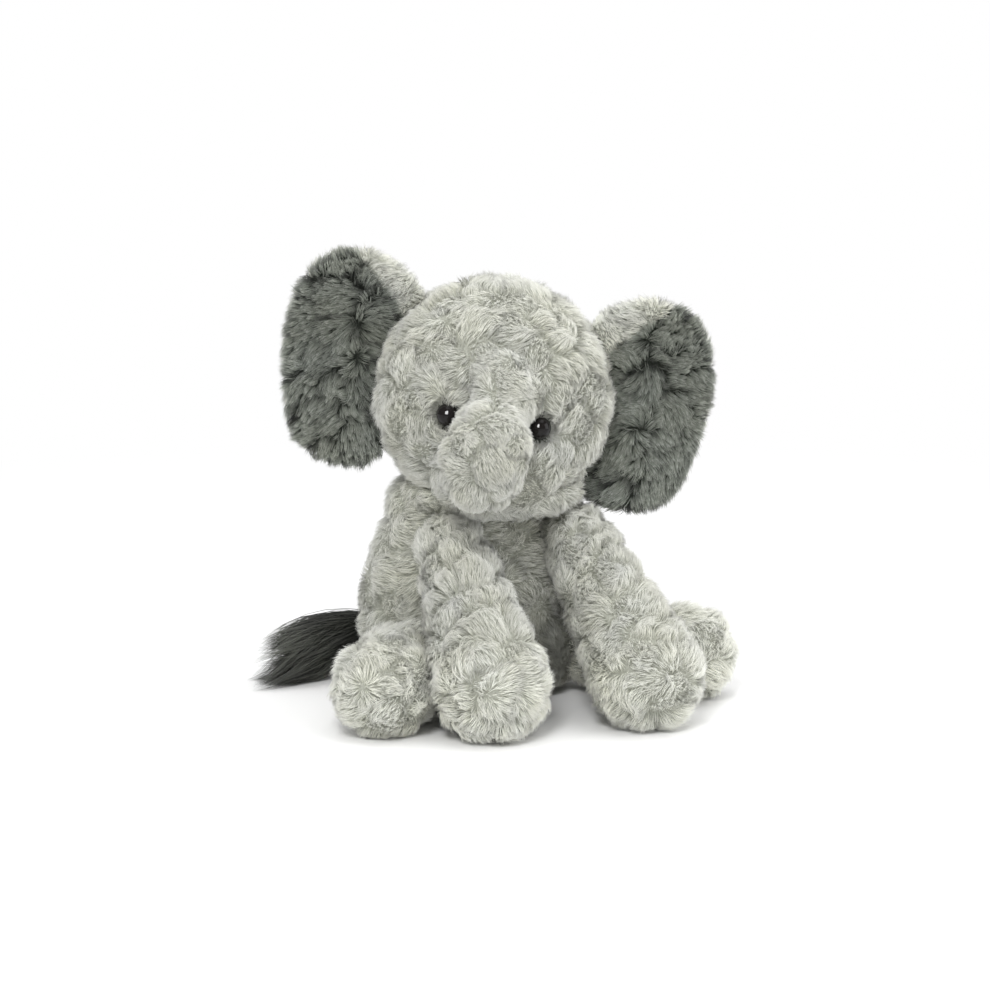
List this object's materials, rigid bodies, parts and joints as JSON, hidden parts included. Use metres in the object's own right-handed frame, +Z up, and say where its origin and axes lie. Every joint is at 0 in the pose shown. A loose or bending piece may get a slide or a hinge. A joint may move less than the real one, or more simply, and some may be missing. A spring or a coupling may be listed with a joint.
{
  "type": "stuffed elephant",
  "caption": "Seated soft elephant in long grey plush with round head, cupped dark-lined ears, short drooping trunk, stubby legs and a dark hair tail tuft.",
  "frame": {"origin": "on the seat face, at floor level, under the middle of the shoulders", "axes": "-Y is the way the body faces, +Z up, -X the toy's own right side; the head is turned 24 degrees to its right and tilted 8.5 degrees"},
  "size_m": [0.23, 0.2086, 0.2462],
  "materials": {
    "light_plush": "long-pile plush, crinkled, matt with a soft sheen",
    "dark_plush": "long-pile plush, dark grey, matt with a soft sheen",
    "tail_hair": "long straight synthetic hair, slightly glossy",
    "stuffing": "loose white polyester fibre",
    "pouch_cloth": "plain woven polyester",
    "pellet": "matt moulded pellets",
    "eye": "black, high gloss",
    "washer": "matt moulded",
    "thread": "twisted polyester thread"
  },
  "bodies": {
    "torso": {"torso_belly_panel": "light_plush", "torso_left_panel": "light_plush", "torso_right_panel": "light_plush", "torso_seat_panel": "light_plush", "torso_stuffing": "stuffing", "pellet_pouch": "pouch_cloth", "pellets": "pellet"},
    "neck": {"neck_wadding": "stuffing", "neck_gathering_thread": "thread"},
    "head": {"head_gusset": "light_plush", "throat_panel": "light_plush", "head_left_panel": "light_plush", "head_right_panel": "light_plush", "head_stuffing": "stuffing", "left_eye": "eye", "right_eye": "eye", "left_eye_washer": "washer", "right_eye_washer": "washer"},
    "trunk": {"trunk_left_panel": "light_plush", "trunk_right_panel": "light_plush", "trunk_stuffing": "stuffing"},
    "right_ear": {"right_ear_lining": "dark_plush", "right_ear_back": "light_plush", "right_ear_padding": "stuffing"},
    "left_ear": {"left_ear_lining": "dark_plush", "left_ear_back": "light_plush", "left_ear_padding": "stuffing"},
    "right_foreleg": {"right_foreleg_outer_panel": "light_plush", "right_foreleg_inner_panel": "light_plush", "right_foreleg_sole": "light_plush", "right_foreleg_stuffing": "stuffing"},
    "left_foreleg": {"left_foreleg_outer_panel": "light_plush", "left_foreleg_inner_panel": "light_plush", "left_foreleg_sole": "light_plush", "left_foreleg_stuffing": "stuffing"},
    "right_hindleg": {"right_hindleg_outer_panel": "light_plush", "right_hindleg_inner_panel": "light_plush", "right_hindleg_sole": "light_plush", "right_hindleg_stuffing": "stuffing"},
    "left_hindleg": {"left_hindleg_outer_panel": "light_plush", "left_hindleg_inner_panel": "light_plush", "left_hindleg_sole": "light_plush", "left_hindleg_stuffing": "stuffing"},
    "tail": {"tail_tube": "light_plush", "tail_cord": "stuffing", "tail_tuft": "tail_hair"}
  },
  "joints": [
    {"name": "head_turn", "type": "hinge", "parent": "torso", "child": "neck", "pos_m": [0, -0.01, 0.1685], "axis": [0, 0, 1], "range_deg": [-12, 40]},
    {"name": "head_nod", "type": "hinge", "parent": "neck", "child": "head", "pos_m": [0, -0.01, 0.1685], "axis": [-0.9035, 0.4023, 0.1478], "range_deg": [-7, 15]},
    {"name": "trunk_lift", "type": "hinge", "parent": "head", "child": "trunk", "pos_m": [-0.02278, -0.06116, 0.1685], "axis": [-0.9035, 0.4023, 0.1478], "range_deg": [-5, 20]},
    {"name": "right_ear_flap", "type": "hinge", "parent": "head", "child": "right_ear", "pos_m": [-0.05204, 0.0263, 0.17781], "axis": [0.135, -0.0601, 0.989], "range_deg": [-20, 30]},
    {"name": "left_ear_flap", "type": "hinge", "parent": "head", "child": "left_ear", "pos_m": [0.0618, -0.02438, 0.15919], "axis": [-0.135, 0.0601, -0.989], "range_deg": [-20, 30]},
    {"name": "right_shoulder_lift", "type": "hinge", "parent": "torso", "child": "right_foreleg", "pos_m": [-0.037, -0.035, 0.092], "axis": [-0.9998, 0.0185, 0], "range_deg": [0, 35]},
    {"name": "left_shoulder_lift", "type": "hinge", "parent": "torso", "child": "left_foreleg", "pos_m": [0.037, -0.035, 0.092], "axis": [-0.9914, -0.1312, 0], "range_deg": [0, 35]},
    {"name": "right_hip_splay", "type": "hinge", "parent": "torso", "child": "right_hindleg", "pos_m": [-0.058, -0.024, 0.025], "axis": [0, 0, -1], "range_deg": [-2, 35]},
    {"name": "left_hip_splay", "type": "hinge", "parent": "torso", "child": "left_hindleg", "pos_m": [0.058, -0.024, 0.025], "axis": [0, 0, 1], "range_deg": [-2, 35]},
    {"name": "tail_swing", "type": "hinge", "parent": "torso", "child": "tail", "pos_m": [-0.012, 0.066, 0.032], "axis": [0, 0, -1], "range_deg": [-3, 150]}
  ]
}
